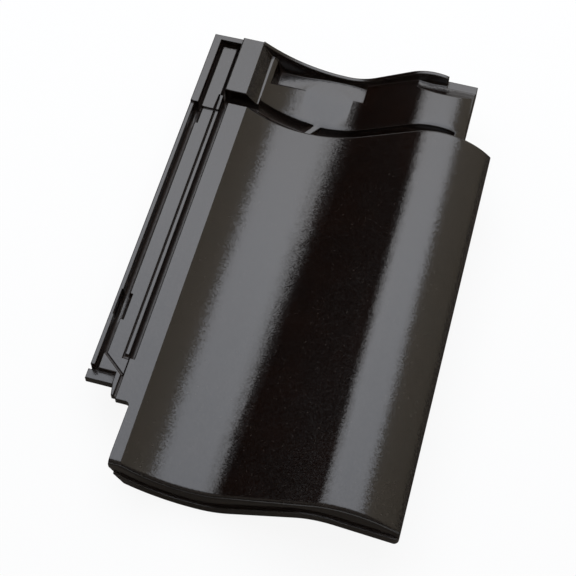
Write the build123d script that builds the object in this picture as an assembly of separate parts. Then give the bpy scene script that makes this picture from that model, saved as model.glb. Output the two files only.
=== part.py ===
"""Interlocking clay pantile: one fired piece with a wave, a side lock, a head lock and a nose."""
import os
from dataclasses import dataclass, replace
from math import asin, atan2, cos, degrees, hypot, pi, radians, sin, sqrt, tan

from build123d import *

# Overall sizes
LENGTH = 410.0
WIDTH = 260.0
CLAY = 13.0
HEAD_CLAY = 13.0

# Nose at the foot
NOSE_DEPTH = 27.0
NOSE_LENGTH = 14.0
NOSE_SET = 1.7
NOSE_ROUND = 4.0
NOSE_TIP_Z = 38.0
NOSE_TIP_RUN = 9.5
NOSE_TROUGH_SHIFT = 3.0
NOSE_LEFT_RADIUS = 106.0
NOSE_RIGHT_RADIUS = 56.0
NOSE_ROLL_SHIFT = 11.0
NOSE_ROLL_Z = 43.0
NOSE_ROLL_RADIUS = 45.0
NOSE_FALL = 8.0
LIP_HEIGHT = 8.8
LIP_GROOVE_HEIGHT = 5.4
LIP_GROOVE_DEPTH = 2.4
LIP_GROOVE_INSET = 7.8
LIP_GROOVE_FROM_EDGE = 15.0
FOOT_CORNER = 4.0

# Wave of the weather side, measured from the two sides and from the trough
FLANK_SLOPE = 26.6
STRIP_EDGE_X = 47.8
STRIP_RISE = 19.5
ROLL_FROM_EDGE = 44.0
ROLL_RISE = 43.5
ROLL_RADIUS = 44.0
TROUGH_FOOT_RADIUS = 63.0
TROUGH_HEAD_RADIUS = 100.0
WING_RADIUS = 60.0
WING_FOOT_Z = 40.5
WING_ROUND = 3.2
HEAD_ARRIS = 2.0

# Side lock on the left
LOCK_BASE_Z = 31.0
RIM_WIDTH = 3.6
RIM_Z = 48.0
RIM_FOOT_Y = 75.0
RIB_Z = 43.0
RIB_START_X = 8.4
CHANNEL_Z = 36.0
CHANNEL_FOOT_Y = 90.0
CHANNEL_TAIL = 2.0
NOTCH_WIDTH = 2.2
NOTCH_LENGTH = 23.0
NOTCH_FOOT_Y = 120.5
RIM_NOTCH = 1.2
NOTCH_HEAD_LENGTH = 16.0
GROOVE_X = 20.6
GROOVE_WIDTH = 1.3
GROOVE_DEPTH = 3.0
INNER_CHANNEL_X = 25.0
INNER_CHANNEL_Z = 35.0
INNER_FOOT_Y = 88.0
INNER_FOOT_LENGTH = 4.0
STRIP_X = 31.0
STRIP_FOOT_X = 27.2
TAIL_WIDTH = 3.0
TAIL_DEPTH = 2.6
SEAM_WIDTH = 1.2
DRAIN_WIDTH = 1.8
DRAIN_DEPTH = 2.0
DRAIN_START_X = 6.0
DRAIN_START_Y = 90.0
DRAIN_END_X = 25.3
DRAIN_END_Y = 74.4
LEDGE_WIDTH = 20.0
LEDGE_REACH = 3.0
LEDGE_FOOT_Y = 66.6
LEDGE_Z = 38.0
LAND_FOOT_X = 22.2
LAND_FOOT_Y = 56.0
LAND_BASE_Z = 36.0
FOOT_CUT_X = 39.2
FOOT_CUT_Y = 52.2
FOOT_CUT_ROUND = 3.5
FOOT_FLARE = 1.0
STRIP_BASE_X = 44.0
STRIP_BASE_Z = 39.5

# Head lock
HEAD_EDGE_Y = 345.0
HEAD_STEP_Y = 334.5
HEAD_RIM_WIDTH = 7.0
HEAD_RIM_Z = 50.5
HEAD_RIB_Z = 45.0
HEAD_SLOT_WIDTH = 2.5
HEAD_SLOT_Z = 37.0
HEAD_RIM_RETURN = 5.0
BLOCK_GAP = 4.0
BLOCK_X = 26.2
BLOCK_EDGE_X = 45.0
BLOCK_FOOT_X = 53.8
BLOCK_Z = 54.0
BLOCK_FOOT_Z = 43.0
BLOCK_SHELF = 2.2
BLOCK_FRONT_Y = 350.6
BLOCK_ROUND = 1.4
HEAD_RIGHT_FROM_EDGE = 24.3
HEAD_RIGHT_ROUND = 3.4
PANEL_TROUGH_SHIFT = 12.0
PANEL_TROUGH_Z = 23.5
PANEL_LEFT_RADIUS = 90.0
PANEL_RIGHT_RADIUS = 66.0
PANEL_ROLL_SHIFT = 6.0
PANEL_ROLL_Z = 61.5
PANEL_ROLL_RADIUS = 52.0
PANEL_FALL = 34.0
PANEL_BEVEL = 5.0
PANEL_BEVEL_DROP = 1.2
CHANNEL_LEFT_WIDTH = 11.4
CHANNEL_RIGHT_WIDTH = 10.6
HEAD_CHANNEL_RIM = 3.0
HEAD_CHANNEL_DEPTH = 8.0
HEAD_CHANNEL_FROM_EDGE = 34.0
BRIDGE_WIDTH = 6.0
BRIDGE_SKEW = 8.0

# Rear rim and the flats in front of it
REAR_RIM = 7.5
REAR_RIM_TOP = 3.2
REAR_RIM_SLOPE = 9.0
REAR_TROUGH_SHIFT = 22.0
REAR_TROUGH_Z = 31.0
REAR_LEFT_RADIUS = 135.0
REAR_RIGHT_RADIUS = 46.0
REAR_ROLL_SHIFT = 18.0
REAR_ROLL_Z = 63.0
REAR_ROLL_RADIUS = 40.0
REAR_FROM_EDGE = 50.0
PLATE_GAP = 7.0
PLATE_WIDTH = 78.0
PLATE_Z = 26.5
PLATE_LENGTH = 14.0
PLATE_SIDE_DRAFT = 0.24
PLATE_DRAFT = 0.8
PLATE_RAMP = 26.0
PLATE_WALL = 10.0
PAD_FROM_ROLL = 34.0
PAD_Z = 55.0
PAD_LENGTH = 5.5
PAD_DRAFT = 1.2
CORNER_Z = 54.0
CORNER_LENGTH = 8.2

# Underside
UNDER_WING_SLOPE = 26.0
NIB_WIDTH = 26.0
NIB_LENGTH = 16.0
NIB_FROM_HEAD = 38.0
NIB_LEFT_X = 44.0
NIB_FROM_ROLL = 66.0
NIB_ROUND = 3.0
WING_RIB_FROM_EDGE = 26.0
WING_RIB_WIDTH = 3.6
WING_RIB_Z = 42.5
WING_POCKET_FROM_EDGE = 17.0
WING_LIP = 4.8
WING_POCKET_Z = 47.5

# Working sizes of the cutting solids
MARGIN = 20.0
TALL = 120.0
ROUND_STEPS = 4


@dataclass
class Wave:
    """A trough and a roll joined by a straight flank, seen along the tile."""

    trough_x: float
    trough_z: float
    left_radius: float
    right_radius: float
    roll_x: float
    roll_z: float
    roll_radius: float
    fall: float

    def flank_angle(self) -> float:
        """Return the slope of the straight flank in degrees."""
        run = self.roll_x - self.trough_x
        rise = self.roll_z - self.roll_radius - self.trough_z - self.right_radius
        reach = (self.right_radius + self.roll_radius) / hypot(run, rise)
        return degrees(atan2(rise, run) + asin(reach))

    def left_z(self, x: float, depth: float) -> float:
        """Return the height of the trough's left arc at x, set in by depth."""
        radius = self.left_radius + depth
        return self.trough_z + self.left_radius - sqrt(radius**2 - (x - self.trough_x) ** 2)

    def left_x(self, z: float, depth: float) -> float:
        """Return where the trough's left arc, set in by depth, comes down to z."""
        radius = self.left_radius + depth
        return self.trough_x - sqrt(radius**2 - (self.trough_z + self.left_radius - z) ** 2)

    def crest(self, start_x: float, depth: float = 0.0) -> list:
        """Return the wave's edges from start_x to the top of the roll, set in by depth."""
        slope = radians(self.flank_angle())
        right = self.right_radius + depth
        roll = self.roll_radius - depth
        low = (self.trough_x, self.trough_z - depth)
        middle_x = (start_x + self.trough_x) / 2
        flank_low = (self.trough_x + right * sin(slope), low[1] + right * (1 - cos(slope)))
        bend = (self.trough_x + right * sin(slope / 2), low[1] + right * (1 - cos(slope / 2)))
        base = self.roll_z - self.roll_radius
        flank_high = (self.roll_x - roll * sin(slope), base + roll * cos(slope))
        turn = (self.roll_x - roll * sin(slope / 2), base + roll * cos(slope / 2))
        return [
            ThreePointArc((start_x, self.left_z(start_x, depth)), (middle_x, self.left_z(middle_x, depth)), low),
            ThreePointArc(low, bend, flank_low),
            Line(flank_low, flank_high),
            ThreePointArc(flank_high, turn, (self.roll_x, base + roll)),
        ]

    def edges(self, start_x: float, depth: float = 0.0) -> list:
        """Return the wave's edges from start_x to the roll's far side, set in by depth."""
        fall = radians(self.fall)
        roll = self.roll_radius - depth
        base = self.roll_z - self.roll_radius
        line = self.crest(start_x, depth)
        turn = (self.roll_x + roll * sin(fall / 2), base + roll * cos(fall / 2))
        end = (self.roll_x + roll * sin(fall), base + roll * cos(fall))
        return line + [ThreePointArc(line[-1] @ 1, turn, end)]

    def reach(self, start_x: float, far_x: float, depth: float = 0.0) -> list:
        """Return the wave's edges run on straight down its fall to far_x."""
        line = self.edges(start_x, depth)
        end = line[-1] @ 1
        return line + [Line(end, (far_x, end.Y - (far_x - end.X) * tan(radians(self.fall))))]


def across(y: float) -> Plane:
    """Return the plane across the tile at y, with X to the right and Z up."""
    return Plane(origin=(0, y, 0), x_dir=(1, 0, 0), z_dir=(0, -1, 0))


def outline(edges: list):
    """Return the face inside a closed run of edges drawn in X and Z."""
    return make_face(Curve() + edges)


def run(face, y_start: float, y_end: float):
    """Return the solid of a face run along the tile."""
    return extrude(across(y_start) * face, amount=y_start - y_end)


def ramp(face_start, face_end, y_start: float, y_end: float):
    """Return the straight-sided solid between two faces across the tile."""
    return loft([across(y_start) * face_start, across(y_end) * face_end], ruled=True)


def lengthwise(x: float) -> Plane:
    """Return the plane along the tile at x, with Y to the right and Z up."""
    return Plane(origin=(x, 0, 0), x_dir=(0, 1, 0), z_dir=(1, 0, 0))


def trench(start: float, end: float, floor_z: float):
    """Return the section of a round-bottomed channel, open upwards."""
    radius = (end - start) / 2
    spring_z = floor_z + radius
    bottom = ThreePointArc((start, spring_z), (start + radius, floor_z), (end, spring_z))
    return outline([bottom, Polyline((end, spring_z), (end, TALL), (start, TALL), (start, spring_z))])


def bar(x0: float, x1: float, y0: float, y1: float, z0: float, z1: float):
    """Return a plain box between two corners."""
    return Pos((x0 + x1) / 2, (y0 + y1) / 2, (z0 + z1) / 2) * Box(x1 - x0, y1 - y0, z1 - z0)


def floor_rectangle(x0: float, x1: float, y0: float, y1: float, z: float):
    """Return a level rectangle at height z."""
    return Pos((x0 + x1) / 2, (y0 + y1) / 2, z) * Rectangle(x1 - x0, y1 - y0)


def recess(x0: float, x1: float, y0: float, z0: float, side_draft: float, foot_draft: float):
    """Return the cut for a level flat at the head, opening upwards to the left and to the foot."""
    rise = TALL - z0
    low = floor_rectangle(x0, x1, y0, LENGTH, z0)
    high = floor_rectangle(x0 - side_draft * rise, x1, y0 - foot_draft * rise, LENGTH, TALL)
    return loft([low, high], ruled=True)


def band(top: list, low: list, y0: float, y1: float):
    """Return the solid between two runs of edges across the tile."""
    ends = [Line(top[0] @ 0, low[0] @ 0), Line(top[-1] @ 1, low[-1] @ 1)]
    return run(outline(top + low + ends), y0, y1)


# The trough takes the width that the flank's slope leaves between the strip and the roll
slope_tan = tan(radians(FLANK_SLOPE))
slope_lift = 1 / cos(radians(FLANK_SLOPE)) - 1
roll_x = WIDTH - ROLL_FROM_EDGE
bend_run = STRIP_RISE * slope_tan / slope_lift
bend_rise = ((roll_x - STRIP_EDGE_X) * slope_tan - ROLL_RISE) / slope_lift - ROLL_RADIUS - STRIP_RISE / 2
trough_run = sqrt(bend_run**2 + 2 * STRIP_RISE * bend_rise) - bend_run
trough_x = STRIP_EDGE_X + trough_run
trough_radius = (trough_run**2 + STRIP_RISE**2) / (2 * STRIP_RISE)
strip_z = NOSE_DEPTH + STRIP_RISE
main = Wave(
    trough_x, NOSE_DEPTH, trough_radius, TROUGH_FOOT_RADIUS,
    roll_x, NOSE_DEPTH + ROLL_RISE, ROLL_RADIUS, UNDER_WING_SLOPE,
)
main_head = replace(main, right_radius=TROUGH_HEAD_RADIUS)
nose = Wave(
    trough_x + NOSE_TROUGH_SHIFT, 0, NOSE_LEFT_RADIUS, NOSE_RIGHT_RADIUS,
    roll_x - NOSE_ROLL_SHIFT, NOSE_ROLL_Z, NOSE_ROLL_RADIUS, NOSE_FALL,
)
panel = Wave(
    trough_x + PANEL_TROUGH_SHIFT, PANEL_TROUGH_Z, PANEL_LEFT_RADIUS, PANEL_RIGHT_RADIUS,
    roll_x - PANEL_ROLL_SHIFT, PANEL_ROLL_Z, PANEL_ROLL_RADIUS, PANEL_FALL,
)
rear = Wave(
    trough_x + REAR_TROUGH_SHIFT, REAR_TROUGH_Z, REAR_LEFT_RADIUS, REAR_RIGHT_RADIUS,
    roll_x - REAR_ROLL_SHIFT, REAR_ROLL_Z, REAR_ROLL_RADIUS, PANEL_FALL,
)


def rounded_right(face, radius: float):
    """Return a section with the upper corner of its right side rounded."""
    corner = face.vertices().group_by(Axis.X)[-1].sort_by(Axis.Y)[-1]
    return fillet(corner, radius)


def pan_face(wave: Wave, drop: float):
    """Return the section of lock land, strip, wave and rounded wing edge, lowered by drop."""
    top = strip_z - drop
    start_x = wave.left_x(top, drop)
    line = wave.crest(start_x, drop)
    base = wave.roll_z - WING_RADIUS
    radius = WING_RADIUS - drop
    turn = asin((WIDTH - wave.roll_x) / radius)
    middle = (wave.roll_x + radius * sin(turn / 2), base + radius * cos(turn / 2))
    edge = (WIDTH, base + radius * cos(turn))
    lock = [(0, 0), (0, RIB_Z), (STRIP_X, RIB_Z), (STRIP_X, top), (start_x, top)]
    face = outline(line + [ThreePointArc(line[-1] @ 1, middle, edge), Polyline(edge, (WIDTH, 0), *lock)])
    return rounded_right(face, WING_ROUND)


def panel_face(drop: float):
    """Return the section of the head panel with its rounded right side, lowered by drop."""
    line = panel.edges(panel_start, drop)
    end = line[-1] @ 1
    points = [(end.X, end.Y), (end.X, 0), (0, 0), (0, BLOCK_FOOT_Z), (panel_start, BLOCK_FOOT_Z)]
    points += [(panel_start, panel.left_z(panel_start, drop))]
    head_width = WIDTH - HEAD_RIGHT_FROM_EDGE
    face = outline(line + [Polyline(*points)]) & Pos(head_width / 2, 0) * Rectangle(head_width, 2 * TALL)
    return rounded_right(face, HEAD_RIGHT_ROUND)


def rear_face(drop: float):
    """Return the section of the rear rim, lowered by drop."""
    line = rear.edges(BLOCK_EDGE_X, drop)
    end = line[-1] @ 1
    points = [(end.X, end.Y), (end.X, 0), (BLOCK_EDGE_X, 0), (BLOCK_EDGE_X, rear.left_z(BLOCK_EDGE_X, drop))]
    return outline(line + [Polyline(*points)])


def channel_face(depth: float):
    """Return the section above the head panel lowered by depth."""
    line = panel.edges(panel_start, depth)
    end = line[-1] @ 1
    points = [(end.X, end.Y), (end.X, TALL), (panel_start, TALL), (panel_start, panel.left_z(panel_start, depth))]
    return outline(line + [Polyline(*points)])


def head_channel(width: float, x0: float, x1: float):
    """Return the cut for a stretch of the head channel, deepest along its middle."""
    middle_y = HEAD_EDGE_Y + width / 2
    cut = ramp(channel_face(HEAD_CHANNEL_RIM), channel_face(HEAD_CHANNEL_DEPTH), HEAD_EDGE_Y, middle_y)
    cut += ramp(channel_face(HEAD_CHANNEL_DEPTH), channel_face(HEAD_CHANNEL_RIM), middle_y, HEAD_EDGE_Y + width)
    return cut & bar(x0, x1, 0, LENGTH, 0, TALL)


def under_face(wave: Wave, depth: float, left: list):
    """Return the section of what is taken away below a wave set in by depth."""
    far_x = WIDTH + MARGIN
    line = wave.reach(left[-1][0], far_x, depth)
    end = line[-1] @ 1
    return outline(line + [Polyline((far_x, end.Y), (far_x, -MARGIN), (-MARGIN, -MARGIN), *left)])


# Body with a rounded foot and an eased head edge, solid down to the ground
round_y = NOSE_SET + NOSE_ROUND
arris_y = HEAD_EDGE_Y - HEAD_ARRIS
blank = ramp(pan_face(main, 0), pan_face(main_head, 0), round_y, arris_y)
blank += ramp(pan_face(main_head, 0), pan_face(main_head, HEAD_ARRIS), arris_y, HEAD_EDGE_Y)
for step in range(ROUND_STEPS):
    low = pi / 2 * step / ROUND_STEPS
    high = pi / 2 * (step + 1) / ROUND_STEPS
    face_low = pan_face(main, NOSE_ROUND * (1 - sin(low)))
    face_high = pan_face(main, NOSE_ROUND * (1 - sin(high)))
    blank += ramp(face_low, face_high, round_y - NOSE_ROUND * cos(low), round_y - NOSE_ROUND * cos(high))

# Lip along the foot of the nose and the groove above it
lip_x = FOOT_CUT_X - FOOT_FLARE
lip_top = nose.reach(lip_x, WIDTH, -LIP_HEIGHT)
blank += band(lip_top, nose.reach(lip_x, WIDTH, LIP_HEIGHT), 0, round_y)
groove_x = FOOT_CUT_X + LIP_GROOVE_INSET
groove_end_x = WIDTH - LIP_GROOVE_FROM_EDGE
groove_top = nose.reach(groove_x, groove_end_x, -LIP_HEIGHT - LIP_GROOVE_HEIGHT)
groove_low = nose.reach(groove_x, groove_end_x, -LIP_HEIGHT)
blank -= band(groove_top, groove_low, 0, NOSE_SET + LIP_GROOVE_DEPTH)

# Rounded corner where the foot meets the wing
corner_cut = bar(WIDTH - FOOT_CORNER, WIDTH + MARGIN, -MARGIN, FOOT_CORNER, -MARGIN, TALL)
corner_cut -= Pos(WIDTH - FOOT_CORNER, FOOT_CORNER, 0) * Cylinder(FOOT_CORNER, 2 * TALL)
blank -= corner_cut

# Head panel with its eased front edge
panel_start = BLOCK_FOOT_X + BLOCK_SHELF
channel_y = HEAD_EDGE_Y + CHANNEL_RIGHT_WIDTH
head = run(panel_face(PANEL_BEVEL_DROP), HEAD_EDGE_Y, channel_y)
head += ramp(panel_face(PANEL_BEVEL_DROP), panel_face(0), channel_y, channel_y + PANEL_BEVEL)
head += run(panel_face(0), channel_y + PANEL_BEVEL, LENGTH)

# Flats in front of the rear rim: a bare name plate in the trough, a pad on the roll, a corner ledge
rear_y = LENGTH - REAR_RIM
plate_y = rear_y - PLATE_LENGTH
plate_x = panel_start + PLATE_GAP
plate_end_x = plate_x + PLATE_WIDTH
ramp_start = (plate_y - PLATE_RAMP, PANEL_TROUGH_Z)
ramp_points = [ramp_start, (plate_y, PLATE_Z), (LENGTH, PLATE_Z), (LENGTH, 0), (plate_y - PLATE_RAMP, 0)]
head += extrude(lengthwise(plate_x) * make_face([Polyline(*ramp_points, close=True)]), amount=PLATE_WIDTH)
head -= recess(plate_x, plate_end_x, plate_y, PLATE_Z, PLATE_SIDE_DRAFT, PLATE_DRAFT)
head -= recess(roll_x - PAD_FROM_ROLL, WIDTH, rear_y - PAD_LENGTH, PAD_Z, 0, PAD_DRAFT)
rear_end_x = WIDTH - REAR_FROM_EDGE
head -= bar(rear_end_x, WIDTH, LENGTH - CORNER_LENGTH, LENGTH, CORNER_Z, TALL)

# Transverse channel of the head lock with its skewed bridge
bridge_x = trough_x + BRIDGE_SKEW / 2
channel = head_channel(CHANNEL_LEFT_WIDTH, 0, bridge_x)
channel += head_channel(CHANNEL_RIGHT_WIDTH, bridge_x, WIDTH - HEAD_CHANNEL_FROM_EDGE)
bridge_plan = [
    (trough_x - BRIDGE_WIDTH / 2, HEAD_EDGE_Y),
    (trough_x + BRIDGE_WIDTH / 2, HEAD_EDGE_Y),
    (trough_x + BRIDGE_WIDTH / 2 + BRIDGE_SKEW, HEAD_EDGE_Y + CHANNEL_LEFT_WIDTH),
    (trough_x - BRIDGE_WIDTH / 2 + BRIDGE_SKEW, HEAD_EDGE_Y + CHANNEL_LEFT_WIDTH),
]
bridge = extrude(make_face([Polyline(*bridge_plan, close=True)]), amount=TALL)
head -= channel - bridge
head -= bar(0, panel_start, HEAD_EDGE_Y, BLOCK_FRONT_Y, INNER_CHANNEL_Z, TALL)

# Block at the head of the strip, with its sloping right side, and the rear rim
block_points = [
    (BLOCK_X, 0), (BLOCK_X, BLOCK_Z), (BLOCK_EDGE_X, BLOCK_Z), (BLOCK_FOOT_X, BLOCK_FOOT_Z), (BLOCK_FOOT_X, 0),
]
block = run(outline([Polyline(*block_points, close=True)]), BLOCK_FRONT_Y, LENGTH)
head += fillet(block.faces().sort_by(Axis.Z)[-1].edges(), BLOCK_ROUND)
rear_top_y = LENGTH - REAR_RIM_TOP
rear_rim = ramp(rear_face(REAR_RIM_SLOPE), rear_face(0), rear_y, rear_top_y)
rear_rim += run(rear_face(0), rear_top_y, LENGTH)
head += rear_rim & bar(0, rear_end_x, 0, LENGTH, 0, TALL)
blank += head

# Side lock: rims and lands
blank += bar(0, RIM_WIDTH, RIM_FOOT_Y, HEAD_STEP_Y, 0, RIM_Z)
blank += bar(0, BLOCK_X, HEAD_STEP_Y, LENGTH, 0, HEAD_RIB_Z)
blank += bar(0, HEAD_RIM_WIDTH, HEAD_STEP_Y, LENGTH, 0, HEAD_RIM_Z)
blank += bar(0, BLOCK_X, LENGTH - HEAD_RIM_RETURN, LENGTH, 0, HEAD_RIM_Z)
blank += bar(STRIP_FOOT_X, STRIP_X, 0, INNER_FOOT_Y, 0, strip_z)

# Outer channel with its two notches and its thin tail
lock_cut = run(trench(RIM_WIDTH, RIB_START_X, CHANNEL_Z), CHANNEL_FOOT_Y, HEAD_STEP_Y)
notch_x = RIB_START_X + NOTCH_WIDTH
foot_notch = trench(RIM_WIDTH - RIM_NOTCH, notch_x, CHANNEL_Z)
lock_cut += run(foot_notch, NOTCH_FOOT_Y, NOTCH_FOOT_Y + NOTCH_LENGTH)
lock_cut += run(trench(RIM_WIDTH, notch_x, CHANNEL_Z), HEAD_STEP_Y - NOTCH_HEAD_LENGTH, HEAD_STEP_Y)
lock_cut += run(trench(RIM_WIDTH, RIM_WIDTH + CHANNEL_TAIL, CHANNEL_Z), RIM_FOOT_Y, CHANNEL_FOOT_Y)

# Slot round the head plate of the lock
slot_y = LENGTH - HEAD_RIM_RETURN
lock_cut += run(trench(HEAD_RIM_WIDTH, HEAD_RIM_WIDTH + HEAD_SLOT_WIDTH, HEAD_SLOT_Z), HEAD_STEP_Y, slot_y)
lock_cut += bar(HEAD_RIM_WIDTH, BLOCK_X, slot_y - HEAD_SLOT_WIDTH, slot_y, HEAD_SLOT_Z, TALL)
lock_cut += run(trench(BLOCK_X - BLOCK_GAP, BLOCK_X, HEAD_SLOT_Z), BLOCK_FRONT_Y, slot_y)

# Thin groove, inner channel and the turn that joins them at the foot
groove_z = RIB_Z - GROOVE_DEPTH
lock_cut += bar(GROOVE_X, GROOVE_X + GROOVE_WIDTH, INNER_FOOT_Y, BLOCK_FRONT_Y, groove_z, TALL)
lock_cut += run(trench(INNER_CHANNEL_X, STRIP_X, INNER_CHANNEL_Z), INNER_FOOT_Y, BLOCK_FRONT_Y)
turn = trench(INNER_FOOT_Y, INNER_FOOT_Y + INNER_FOOT_LENGTH, groove_z)
lock_cut += extrude(lengthwise(GROOVE_X) * turn, amount=STRIP_X - GROOVE_X)

# Drain line from the outer channel to the tail beside the strip
tail_x = STRIP_FOOT_X - TAIL_WIDTH
drain_z = RIB_Z - DRAIN_DEPTH
drain_run = hypot(DRAIN_END_X - DRAIN_START_X, DRAIN_END_Y - DRAIN_START_Y)
drain_turn = degrees(atan2(DRAIN_END_Y - DRAIN_START_Y, DRAIN_END_X - DRAIN_START_X))
drain = Pos(DRAIN_START_X, DRAIN_START_Y) * Rot(0, 0, drain_turn) * bar(
    0, drain_run, -DRAIN_WIDTH / 2, DRAIN_WIDTH / 2, drain_z, TALL
)
lock_cut += drain & bar(0, STRIP_FOOT_X, 0, LENGTH, 0, TALL)
lock_cut += bar(STRIP_FOOT_X - SEAM_WIDTH, STRIP_FOOT_X, DRAIN_END_Y, INNER_FOOT_Y, drain_z, TALL)
lock_cut += bar(tail_x, STRIP_FOOT_X, 0, DRAIN_END_Y, RIB_Z - TAIL_DEPTH, TALL)

# Ledge at the foot of the lock, the corner cut-out below it and the thinner clay beside it
blank += bar(-LEDGE_REACH, LEDGE_WIDTH, LEDGE_FOOT_Y, RIM_FOOT_Y, 0, LEDGE_Z)
lock_cut += bar(-MARGIN, LEDGE_WIDTH, 0, RIM_FOOT_Y, LEDGE_Z, TALL)
cut_plan = [
    (-MARGIN, -MARGIN), (FOOT_CUT_X - FOOT_FLARE, -MARGIN), (FOOT_CUT_X, FOOT_CUT_Y), (STRIP_FOOT_X, FOOT_CUT_Y),
    (STRIP_FOOT_X, LAND_FOOT_Y), (LAND_FOOT_X, LAND_FOOT_Y), (LEDGE_WIDTH, LEDGE_FOOT_Y), (-MARGIN, LEDGE_FOOT_Y),
]
cut_face = make_face([Polyline(*cut_plan, close=True)])
cut_corner = cut_face.vertices().sort_by_distance((FOOT_CUT_X, FOOT_CUT_Y))[0]
lock_cut += Pos(0, 0, -MARGIN) * extrude(fillet(cut_corner, FOOT_CUT_ROUND), amount=MARGIN + TALL)
lock_cut += bar(LEDGE_WIDTH, STRIP_FOOT_X, NOSE_LENGTH, LEDGE_FOOT_Y, -MARGIN, LAND_BASE_Z)
lock_cut += bar(STRIP_FOOT_X, STRIP_BASE_X, NOSE_LENGTH, LEDGE_FOOT_Y, -MARGIN, STRIP_BASE_Z)
blank -= lock_cut

# Underside: hollow below the wave with the nose left standing, and the pocket of the wing lock
flat_left = [(-MARGIN, LOCK_BASE_Z), (main.left_x(LOCK_BASE_Z, CLAY), LOCK_BASE_Z)]
head_left = [(-MARGIN, LOCK_BASE_Z), (panel.left_x(LOCK_BASE_Z, HEAD_CLAY), LOCK_BASE_Z)]
nose_x = FOOT_CUT_X + NOSE_TIP_RUN
nose_left = [(-MARGIN, NOSE_TIP_Z), (lip_x, NOSE_TIP_Z), (nose_x, nose.left_z(nose_x, 0))]
hollow = run(under_face(nose, 0, nose_left), -MARGIN, NOSE_LENGTH)
pan_foot = under_face(main, CLAY, flat_left)
hollow += ramp(pan_foot, under_face(main_head, CLAY, flat_left), NOSE_LENGTH, HEAD_STEP_Y)
hollow += run(under_face(panel, HEAD_CLAY, head_left), HEAD_STEP_Y, LENGTH + MARGIN)
hollow += bar(roll_x, WIDTH + MARGIN, NOSE_LENGTH, LENGTH + MARGIN, -MARGIN, WING_FOOT_Z)
pocket_x = WIDTH - WING_POCKET_FROM_EDGE
hollow += bar(pocket_x, WIDTH - WING_LIP, NOSE_LENGTH, HEAD_EDGE_Y + MARGIN, 0, WING_POCKET_Z)
rib_x = WIDTH - WING_RIB_FROM_EDGE
wing_rib = bar(rib_x, rib_x + WING_RIB_WIDTH, NOSE_LENGTH, HEAD_STEP_Y, WING_RIB_Z, TALL)
plate_boss = bar(
    plate_x - PLATE_WALL, plate_end_x, plate_y - PLATE_WALL, LENGTH, PLATE_Z - HEAD_CLAY, PLATE_Z + PLATE_WALL
)
tile = blank - hollow
tile += (wing_rib + plate_boss) & blank

# Hanging nibs below the head
nib_y = LENGTH - NIB_FROM_HEAD
for nib_x in (NIB_LEFT_X, roll_x - NIB_FROM_ROLL):
    nib = bar(nib_x, nib_x + NIB_WIDTH, nib_y, nib_y + NIB_LENGTH, 0, TALL)
    tile += fillet(nib.edges().filter_by(Axis.Z), NIB_ROUND) & blank

tile = Pos((LEDGE_REACH - WIDTH) / 2, -LENGTH / 2, 0) * tile
tile.label = "roof_tile"

os.makedirs("parts", exist_ok=True)
export_step(tile, "parts/roof_tile.step")
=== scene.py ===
"""Glazed interlocking clay pantile lying on a white studio floor."""

import logging
import math
from dataclasses import dataclass
from enum import Enum

import bmesh
import bpy
from mathutils import Matrix, Vector

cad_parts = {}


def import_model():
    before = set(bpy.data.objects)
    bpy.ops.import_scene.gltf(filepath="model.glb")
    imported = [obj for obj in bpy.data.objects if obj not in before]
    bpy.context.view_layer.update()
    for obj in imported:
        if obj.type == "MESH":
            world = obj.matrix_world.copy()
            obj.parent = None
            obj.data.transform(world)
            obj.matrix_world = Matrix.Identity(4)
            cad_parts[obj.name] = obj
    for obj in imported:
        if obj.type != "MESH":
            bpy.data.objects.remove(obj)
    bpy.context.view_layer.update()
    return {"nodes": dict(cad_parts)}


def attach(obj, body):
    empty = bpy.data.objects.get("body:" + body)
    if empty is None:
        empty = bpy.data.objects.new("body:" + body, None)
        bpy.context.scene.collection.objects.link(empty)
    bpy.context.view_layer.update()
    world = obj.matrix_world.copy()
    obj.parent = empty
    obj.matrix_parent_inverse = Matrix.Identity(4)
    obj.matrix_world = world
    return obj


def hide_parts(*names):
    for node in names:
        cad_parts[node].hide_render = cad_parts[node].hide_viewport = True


LOG = logging.getLogger("roof_tile")
MM = 0.001
CAD_NODE = "roof_tile"
BODY = "root"
TILE_NAME = "glazed_tile"
WHITE = (1.0, 1.0, 1.0, 1.0)
HALF_METRE = 0.5
# Numbers of the Mix node's colour sockets, which share their names with its other kinds
MIX_A = 6
MIX_B = 7
MIX_RESULT = 2
# Middle of the random colours that a cell pattern gives
CELL_MIDDLE = (0.5, 0.5, 0.5)
# The sRGB curve
SRGB_TOP = 255
SRGB_KNEE = 0.04045
SRGB_SLOPE = 12.92
SRGB_SHIFT = 0.055
SRGB_POWER = 2.4


class Ray(Enum):
    """Kinds of ray that see the white surround as it is photographed."""

    CAMERA = "Is Camera Ray"
    GLOSSY = "Is Glossy Ray"
    TRANSMISSION = "Is Transmission Ray"


class Side(Enum):
    """Sides of the tile that flags stand on, as headings in degrees from the wing side."""

    RIGHT = 0.0
    LEFT = 180.0
    FRONT = -90.0


def linear(code: str) -> tuple[float, float, float, float]:
    """Turn an sRGB hex value into a linear colour.

    Args:
        code: Colour as six hex digits after a hash sign.

    Returns:
        Linear red, green, blue and an alpha of one.
    """
    channels = [int(code[place : place + 2], 16) / SRGB_TOP for place in range(1, len(code), 2)]
    made = [
        c / SRGB_SLOPE if c <= SRGB_KNEE else ((c + SRGB_SHIFT) / (1 + SRGB_SHIFT)) ** SRGB_POWER
        for c in channels
    ]
    return (made[0], made[1], made[2], 1.0)


def per_metre(size_mm: float) -> float:
    """Return a texture scale that makes one cell of the pattern size_mm wide."""
    return 1 / (size_mm * MM)


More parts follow.
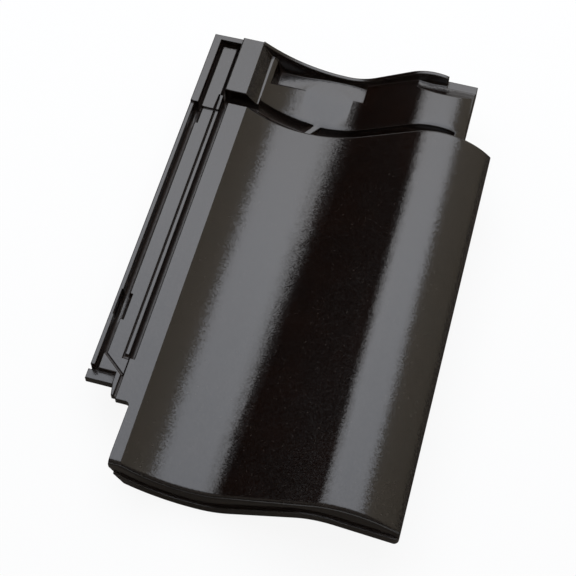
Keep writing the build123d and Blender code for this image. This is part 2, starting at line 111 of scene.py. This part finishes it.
def add_node(
    tree: bpy.types.NodeTree,
    kind: str,
    settings: dict[str | int, object] | None = None,
    **links: bpy.types.NodeSocket,
) -> bpy.types.Node:
    """Add a node with its settings, input values and links.

    Args:
        tree: Node tree that takes the node.
        kind: Blender's type name of the node.
        settings: Attributes of the node, and input values under the input's name or number.
        links: Output sockets by the name of the input they go to, with underscores for spaces,
            or by an i and the input's number.

    Returns:
        The new node.
    """
    node = tree.nodes.new(kind)
    for name, value in (settings or {}).items():
        if isinstance(name, int) or name in node.inputs:
            node.inputs[name].default_value = value
        else:
            setattr(node, name, value)
    for name, output in links.items():
        key = int(name[1:]) if name[0] == "i" and name[1:].isdigit() else name.replace("_", " ")
        tree.links.new(output, node.inputs[key])
    return node


def seen_white(tree: bpy.types.NodeTree) -> bpy.types.NodeSocket:
    """Add a switch for the ray kinds that see the surround as white.

    Args:
        tree: Node tree that takes the nodes.

    Returns:
        Output socket that is one for those rays and nought for the others.
    """
    path = add_node(tree, "ShaderNodeLightPath")
    total = path.outputs[Ray.CAMERA.value]
    for ray in (Ray.GLOSSY, Ray.TRANSMISSION):
        joined = add_node(
            tree, "ShaderNodeMath", {"operation": "MAXIMUM"}, i0=total, i1=path.outputs[ray.value]
        )
        total = joined.outputs[0]
    return total


def matt_material(name: str, colour_hex: str) -> bpy.types.Material:
    """Make a fully matt material of one colour.

    Args:
        name: Name of the material.
        colour_hex: Its sRGB colour.

    Returns:
        The new material.
    """
    material = bpy.data.materials.new(name)
    material.use_nodes = True
    shader = material.node_tree.nodes["Principled BSDF"]
    shader.inputs["Base Color"].default_value = linear(colour_hex)
    shader.inputs["Roughness"].default_value = 1.0
    shader.inputs["Specular IOR Level"].default_value = 0.0
    return material


@dataclass(frozen=True)
class DarkGlaze:
    """Dark brown-black engobe glaze, sprayed on clay and fired to a gloss.

    It is almost black where it mirrors nothing. Its skin is finely grained, so it mirrors pale
    things with a grainy edge, and it holds a few pale specks. In the channels it lies thin,
    brown and dull.
    """

    name: str = "fired_dark_glaze"
    body_hex: str = "#0A0301"
    warm_hex: str = "#0E0401"
    channel_hex: str = "#22140A"
    roughness: float = 0.20
    channel_roughness: float = 0.70
    ior: float = 1.56
    cloud_mm: float = 40.0
    cloud_detail: float = 5.0
    cloud_from: float = 0.42
    cloud_to: float = 0.68
    # The real grain is finer, and is drawn one pixel wide so that it shows in the render
    grain_mm: float = 0.9
    grain_degrees: float = 2.1
    speck_hex: str = "#2E2823"
    speck_mm: float = 1.3
    speck_from: float = 0.73
    speck_to: float = 0.85
    sag_mm: float = 45.0
    sag_depth_mm: float = 0.25
    grit_mm: float = 0.9
    grit_depth_mm: float = 0.05
    wave_detail: float = 1.0
    edge_round_mm: float = 0.9
    channel_reach_mm: float = 7.0
    channel_full: float = 0.40
    channel_open: float = 0.72
    reach_samples: int = 8

    def make(self) -> bpy.types.Material:
        """Build the glaze's node material.

        Returns:
            The new material.
        """
        material = bpy.data.materials.new(self.name)
        material.use_nodes = True
        tree = material.node_tree
        shader = tree.nodes["Principled BSDF"]
        shader.inputs["IOR"].default_value = self.ior
        place = add_node(tree, "ShaderNodeTexCoord").outputs["Object"]
        depth = self.channel_share(tree)
        self.paint(tree, shader, place, depth)
        self.shape_skin(tree, shader, place, depth)
        return material

    def channel_share(self, tree: bpy.types.NodeTree) -> bpy.types.NodeSocket:
        """Add the share of a point that lies down in a channel.

        Args:
            tree: The glaze's node tree.

        Returns:
            Output socket that is one deep in a channel and nought in the open.
        """
        hollow = add_node(
            tree,
            "ShaderNodeAmbientOcclusion",
            {
                "samples": self.reach_samples,
                "only_local": True,
                "Distance": self.channel_reach_mm * MM,
            },
        )
        share = add_node(
            tree,
            "ShaderNodeMapRange",
            {"From Min": self.channel_full, "From Max": self.channel_open, "To Min": 1.0, "To Max": 0.0},
            Value=hollow.outputs["AO"],
        )
        return share.outputs["Result"]

    def paint(
        self,
        tree: bpy.types.NodeTree,
        shader: bpy.types.Node,
        place: bpy.types.NodeSocket,
        depth: bpy.types.NodeSocket,
    ) -> None:
        """Give the glaze its colour and its gloss.

        Args:
            tree: The glaze's node tree.
            shader: The glaze's shader node.
            place: Coordinates on the tile.
            depth: Share of a point that lies in a channel.
        """
        cloud = add_node(
            tree,
            "ShaderNodeTexNoise",
            {"Scale": per_metre(self.cloud_mm), "Detail": self.cloud_detail},
            Vector=place,
        )
        share = add_node(
            tree,
            "ShaderNodeMapRange",
            {"From Min": self.cloud_from, "From Max": self.cloud_to},
            Value=cloud.outputs["Fac"],
        )
        body = add_node(
            tree,
            "ShaderNodeMix",
            {"data_type": "RGBA", MIX_A: linear(self.body_hex), MIX_B: linear(self.warm_hex)},
            i0=share.outputs["Result"],
        )
        dust = add_node(
            tree,
            "ShaderNodeTexNoise",
            {"Scale": per_metre(self.speck_mm), "Detail": 0.0},
            Vector=place,
        )
        specks = add_node(
            tree,
            "ShaderNodeMapRange",
            {"From Min": self.speck_from, "From Max": self.speck_to},
            Value=dust.outputs["Fac"],
        )
        specked = add_node(
            tree,
            "ShaderNodeMix",
            {"data_type": "RGBA", MIX_B: linear(self.speck_hex)},
            i0=specks.outputs["Result"],
            i6=body.outputs[MIX_RESULT],
        )
        colour = add_node(
            tree,
            "ShaderNodeMix",
            {"data_type": "RGBA", MIX_B: linear(self.channel_hex)},
            i0=depth,
            i6=specked.outputs[MIX_RESULT],
        )
        tree.links.new(colour.outputs[MIX_RESULT], shader.inputs["Base Color"])
        gloss = add_node(
            tree,
            "ShaderNodeMapRange",
            {"To Min": self.roughness, "To Max": self.channel_roughness},
            Value=depth,
        )
        tree.links.new(gloss.outputs["Result"], shader.inputs["Roughness"])

    def shape_skin(
        self,
        tree: bpy.types.NodeTree,
        shader: bpy.types.Node,
        place: bpy.types.NodeSocket,
        depth: bpy.types.NodeSocket,
    ) -> None:
        """Give the glaze its soft edges, its grain, its slow unevenness and the grit in its channels.

        Args:
            tree: The glaze's node tree.
            shader: The glaze's shader node.
            place: Coordinates on the tile.
            depth: Share of a point that lies in a channel.
        """
        normal = add_node(
            tree,
            "ShaderNodeBevel",
            {"samples": self.reach_samples, "Radius": self.edge_round_mm * MM},
        ).outputs["Normal"]
        cells = add_node(tree, "ShaderNodeTexVoronoi", {"Scale": per_metre(self.grain_mm)}, Vector=place)
        lean = add_node(
            tree,
            "ShaderNodeVectorMath",
            {"operation": "SUBTRACT", 1: CELL_MIDDLE},
            i0=cells.outputs["Color"],
        )
        scaled = add_node(
            tree,
            "ShaderNodeVectorMath",
            {"operation": "SCALE", "Scale": 2 * math.tan(math.radians(self.grain_degrees))},
            i0=lean.outputs["Vector"],
        )
        turned = add_node(
            tree, "ShaderNodeVectorMath", {"operation": "ADD"}, i0=normal, i1=scaled.outputs["Vector"]
        )
        normal = add_node(
            tree, "ShaderNodeVectorMath", {"operation": "NORMALIZE"}, i0=turned.outputs["Vector"]
        ).outputs["Vector"]
        layers = ((self.sag_mm, self.sag_depth_mm, None), (self.grit_mm, self.grit_depth_mm, depth))
        for size_mm, depth_mm, share in layers:
            waves = add_node(
                tree,
                "ShaderNodeTexNoise",
                {"Scale": per_metre(size_mm), "Detail": self.wave_detail},
                Vector=place,
            )
            bump = add_node(
                tree,
                "ShaderNodeBump",
                {"Distance": depth_mm * MM},
                Height=waves.outputs["Fac"],
                Normal=normal,
            )
            if share is not None:
                tree.links.new(share, bump.inputs["Strength"])
            normal = bump.outputs["Normal"]
        tree.links.new(normal, shader.inputs["Normal"])


@dataclass(frozen=True)
class StudioPaper:
    """Matt white background paper, which shows the tile's shadow only faintly."""

    name: str = "white_paper"
    colour_hex: str = "#F4F4F4"
    wash: float = 0.90

    def make(self) -> bpy.types.Material:
        """Build the paper's node material.

        Returns:
            The new material.
        """
        material = matt_material(self.name, self.colour_hex)
        tree = material.node_tree
        shader = tree.nodes["Principled BSDF"]
        glow = add_node(tree, "ShaderNodeEmission", {"Color": WHITE, "Strength": 1.0})
        share = add_node(
            tree, "ShaderNodeMath", {"operation": "MULTIPLY", 1: self.wash}, i0=seen_white(tree)
        )
        blend = add_node(
            tree,
            "ShaderNodeMixShader",
            i0=share.outputs[0],
            i1=shader.outputs["BSDF"],
            i2=glow.outputs["Emission"],
        )
        tree.links.new(blend.outputs["Shader"], tree.nodes["Material Output"].inputs["Surface"])
        return material


@dataclass(frozen=True)
class StudioCard:
    """Matt card or felt of one colour, which the glaze mirrors as a plain tone."""

    name: str
    colour_hex: str

    def make(self) -> bpy.types.Material:
        """Return the card's new material."""
        return matt_material(self.name, self.colour_hex)


@dataclass
class GlazedTile:
    """The fired tile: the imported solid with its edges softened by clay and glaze."""

    merge_mm: float = 0.2
    flat_degrees: float = 0.4
    edge_degrees: float = 28.0
    edge_up: float = 0.3
    edge_least_mm: float = 1.4
    edge_clear_mm: float = 1.0
    edge_round_mm: float = 0.7
    edge_segments: int = 2
    crease_degrees: float = 50.0

    def soft(self, edge: bmesh.types.BMEdge) -> bool:
        """Tell whether an edge of the weather side is sharp, long and free enough to be rounded.

        Args:
            edge: Edge of the merged tile.

        Returns:
            True where the edge takes a round.
        """
        if not edge.is_convex or edge.calc_face_angle() < math.radians(self.edge_degrees):
            return False
        if max(face.normal.z for face in edge.link_faces) < self.edge_up:
            return False
        beside = [near.calc_length() for vert in edge.verts for near in vert.link_edges]
        return edge.calc_length() > self.edge_least_mm * MM and min(beside) > self.edge_clear_mm * MM

    def build(self, node: bpy.types.Object) -> bpy.types.Object:
        """Make the tile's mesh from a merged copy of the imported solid.

        Args:
            node: The CAD node that the tile stands for.

        Returns:
            The new object, which replaces the node.
        """
        mesh = node.data.copy()
        mesh.name = TILE_NAME
        shape = bmesh.new()
        shape.from_mesh(mesh)
        bmesh.ops.remove_doubles(shape, verts=shape.verts, dist=self.merge_mm * MM)
        bmesh.ops.dissolve_limit(
            shape, angle_limit=math.radians(self.flat_degrees), verts=shape.verts, edges=shape.edges
        )
        sharp = [edge for edge in shape.edges if self.soft(edge)]
        bmesh.ops.bevel(
            shape,
            geom=sharp,
            offset=self.edge_round_mm * MM,
            offset_type="OFFSET",
            affect="EDGES",
            segments=self.edge_segments,
            profile=0.5,
            material=-1,
            clamp_overlap=False,
        )
        for face in shape.faces:
            face.smooth = True
        for edge in shape.edges:
            edge.smooth = edge.calc_face_angle(0.0) < math.radians(self.crease_degrees)
        shape.to_mesh(mesh)
        shape.free()
        mesh.materials.clear()
        tile = bpy.data.objects.new(TILE_NAME, mesh)
        bpy.context.scene.collection.objects.link(tile)
        tile.modifiers.new("even_normals", "WEIGHTED_NORMAL").keep_sharp = True
        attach(tile, BODY)
        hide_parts(CAD_NODE)
        return tile

    def dress(self, tile: bpy.types.Object, glaze: DarkGlaze) -> None:
        """Put the glaze on the tile."""
        tile.data.materials.append(glaze.make())


@dataclass
class Studio:
    """White floor, overhead soft box, the cards that the gloss sees, and the white surround."""

    floor_m: float = 12.0
    box_centre_m: tuple[float, float, float] = (-0.31, 0.80, 1.50)
    box_width_m: float = 2.40
    box_depth_m: float = 2.20
    box_radiance: float = 2.95
    box_fade_left: float = 0.29
    box_fade_right: float = 0.12
    box_front: float = 0.47
    box_back: float = 0.66
    box_middle: float = 0.55
    box_hex: str = "#F6F5F7"
    box_front_hex: str = "#E6EFFF"
    felt_hex: str = "#050505"
    card_hex: str = "#FBF0DA"
    apron_hex: str = "#6E675E"
    front_hex: str = "#B5AEA4"
    surround: float = 0.40
    flag_run_m: float = 1.6
    card_foot_m: float = 0.20
    front_foot_m: float = 0.40
    apron_width_m: float = 1.40
    apron_depth_m: float = 1.40
    apron_left_m: float = -0.28
    apron_front_m: float = -0.36
    apron_lift_m: float = 0.0005

    def build(self) -> None:
        """Make the floor, the lamp, the flags and the world."""
        self.lay_floor()
        self.hang_box()
        self.stand_flags()
        self.light_world()

    def lay_floor(self) -> None:
        """Make the floor that the tile lies on."""
        floor = self.sheet("studio_floor", self.floor_m, self.floor_m, Matrix.Identity(4))
        floor.data.materials.append(StudioPaper().make())

    def sheet(self, name: str, width: float, depth: float, place: Matrix) -> bpy.types.Object:
        """Make one flat rectangle of the stage.

        Args:
            name: Name of the object.
            width: Size along the sheet's own X in metres.
            depth: Size along the sheet's own Y in metres.
            place: Where the sheet stands.

        Returns:
            The new object, marked as stage.
        """
        mesh = bpy.data.meshes.new(name)
        shape = bmesh.new()
        bmesh.ops.create_grid(shape, x_segments=1, y_segments=1, size=HALF_METRE)
        bmesh.ops.scale(shape, vec=(width, depth, 1.0), verts=shape.verts)
        bmesh.ops.transform(shape, matrix=place, verts=shape.verts)
        shape.to_mesh(mesh)
        shape.free()
        made = bpy.data.objects.new(name, mesh)
        bpy.context.scene.collection.objects.link(made)
        return made

    def hang_box(self) -> None:
        """Hang the soft box level above and behind the tile."""
        lamp = bpy.data.lights.new("overhead_soft_box", "AREA")
        lamp.shape = "RECTANGLE"
        lamp.size = self.box_width_m
        lamp.size_y = self.box_depth_m
        lamp.energy = self.box_radiance * math.pi * self.box_width_m * self.box_depth_m
        self.feather(lamp)
        box = bpy.data.objects.new("overhead_soft_box", lamp)
        box.location = self.box_centre_m
        bpy.context.scene.collection.objects.link(box)

    def feather(self, lamp: bpy.types.AreaLight) -> None:
        """Let the soft box fade towards its edges, and make it cooler at the front.

        Args:
            lamp: The soft box.
        """
        lamp.use_nodes = True
        tree = lamp.node_tree
        spot = add_node(tree, "ShaderNodeNewGeometry").outputs["Parametric"]
        part = add_node(tree, "ShaderNodeSeparateXYZ", Vector=spot)
        fades = (
            ("X", 0.0, self.box_fade_left, 0.0),
            ("X", 1.0, 1.0 - self.box_fade_right, 0.0),
            ("Y", 0.0, self.box_middle, self.box_front),
            ("Y", 1.0, self.box_middle, self.box_back),
        )
        share = None
        for axis, edge, full, least in fades:
            fade = add_node(
                tree,
                "ShaderNodeMapRange",
                {"From Min": edge, "From Max": full, "To Min": least, "To Max": 1.0},
                Value=part.outputs[axis],
            )
            faded = fade.outputs["Result"]
            if share is not None:
                joined = add_node(tree, "ShaderNodeMath", {"operation": "MULTIPLY"}, i0=share, i1=faded)
                faded = joined.outputs[0]
            share = faded
        tree.links.new(share, tree.nodes["Emission"].inputs["Strength"])
        tint = add_node(
            tree,
            "ShaderNodeMix",
            {"data_type": "RGBA", MIX_A: linear(self.box_front_hex), MIX_B: linear(self.box_hex)},
            i0=part.outputs["Y"],
        )
        tree.links.new(tint.outputs[MIX_RESULT], tree.nodes["Emission"].inputs["Color"])

    def lean_place(self, side: Side, middle: float) -> Matrix:
        """Find where a flag stands that leans from the floor to the soft box's edge.

        Args:
            side: Side of the tile that the flag stands on.
            middle: How far up the lean the flag's middle is, from nought to one.

        Returns:
            The flag's place, with its own X up the lean.
        """
        box_x, box_y, box_z = self.box_centre_m
        reach = (self.box_depth_m if side is Side.FRONT else self.box_width_m) / 2
        out = reach + self.flag_run_m * (1 - middle)
        turn = Matrix.Rotation(math.radians(side.value), 4, "Z")
        tilt = Matrix.Rotation(math.atan2(box_z, self.flag_run_m), 4, "Y")
        below = Matrix.Translation((box_x, box_y, 0.0))
        aside = Matrix.Translation((out, 0.0, box_z * middle))
        return below @ turn @ aside @ tilt

    def stand_flags(self) -> None:
        """Lean the flags and the card round the tile, dark near the floor, and lay the apron."""
        height = self.box_centre_m[2]
        lean = math.hypot(self.flag_run_m, height)
        front_share = self.front_foot_m / height
        right_share = self.card_foot_m / height
        flags = (
            ("front_flag", Side.FRONT, front_share, 1.0, self.front_hex),
            ("front_felt", Side.FRONT, 0.0, front_share, self.felt_hex),
            ("left_felt", Side.LEFT, 0.0, 1.0, self.felt_hex),
            ("right_card", Side.RIGHT, right_share, 1.0, self.card_hex),
            ("right_felt", Side.RIGHT, 0.0, right_share, self.felt_hex),
        )
        for name, side, low, high, colour in flags:
            beside = self.box_width_m if side is Side.FRONT else self.box_depth_m
            across = beside + 2 * self.flag_run_m
            place = self.lean_place(side, (low + high) / 2)
            self.hang_card(name, lean * (high - low), across, place, colour)
        apron_x = self.apron_left_m + self.apron_width_m / 2
        apron_y = self.apron_front_m + self.apron_depth_m / 2
        place = Matrix.Translation((apron_x, apron_y, self.apron_lift_m))
        self.hang_card("apron", self.apron_width_m, self.apron_depth_m, place, self.apron_hex)

    def hang_card(self, name: str, width: float, depth: float, place: Matrix, colour_hex: str) -> None:
        """Put up one card that only the tile's gloss sees.

        Args:
            name: Name of the card.
            width: Size along the card's own X in metres.
            depth: Size along the card's own Y in metres.
            place: Where the card stands.
            colour_hex: Colour of the card.
        """
        card = self.sheet(name, width, depth, place)
        card.data.materials.append(StudioCard(name + "_face", colour_hex).make())
        card.visible_camera = False
        card.visible_shadow = False
        card.visible_diffuse = False

    def light_world(self) -> None:
        """Make the surround white to the eye and to gloss, and a low fill for the rest."""
        world = bpy.data.worlds.new("white_surround")
        bpy.context.scene.world = world
        world.use_nodes = True
        tree = world.node_tree
        fill = tree.nodes["Background"]
        fill.inputs["Color"].default_value = WHITE
        fill.inputs["Strength"].default_value = self.surround
        white = add_node(tree, "ShaderNodeBackground", {"Color": WHITE, "Strength": 1.0})
        blend = add_node(
            tree,
            "ShaderNodeMixShader",
            i0=seen_white(tree),
            i1=fill.outputs["Background"],
            i2=white.outputs["Background"],
        )
        tree.links.new(blend.outputs["Shader"], tree.nodes["World Output"].inputs["Surface"])


@dataclass
class PhotoCamera:
    """Camera at the photograph's viewing angle, solved from the tile's edges."""

    place_m: tuple[float, float, float] = (0.1314, -0.5357, 0.9796)
    right: tuple[float, float, float] = (0.9652, 0.2615, 0.0074)
    ahead: tuple[float, float, float] = (-0.1225, 0.4764, -0.8707)
    lens_mm: float = 84.4
    sensor_mm: float = 36.0

    def build(self) -> bpy.types.Object:
        """Make the camera and give it to the scene.

        Returns:
            The new camera.
        """
        data = bpy.data.cameras.new("photo_camera")
        data.lens = self.lens_mm
        data.sensor_width = self.sensor_mm
        camera = bpy.data.objects.new("photo_camera", data)
        back = -Vector(self.ahead).normalized()
        side = Vector(self.right).normalized()
        up = back.cross(side).normalized()
        turn = Matrix((side, up, back)).transposed().to_4x4()
        camera.matrix_world = Matrix.Translation(self.place_m) @ turn
        bpy.context.scene.collection.objects.link(camera)
        bpy.context.scene.camera = camera
        return camera


def main() -> None:
    """Build the tile, the studio and the camera."""
    logging.basicConfig(level=logging.INFO, format="%(message)s")
    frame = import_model()
    bpy.context.scene.view_settings.view_transform = "Standard"
    builder = GlazedTile()
    tile = builder.build(frame["nodes"][CAD_NODE])
    builder.dress(tile, DarkGlaze())
    LOG.info("%s: %d faces", tile.name, len(tile.data.polygons))
    Studio().build()
    camera = PhotoCamera().build()
    LOG.info("%s: %.1f mm lens", camera.name, camera.data.lens)


if __name__ == "__main__":
    main()
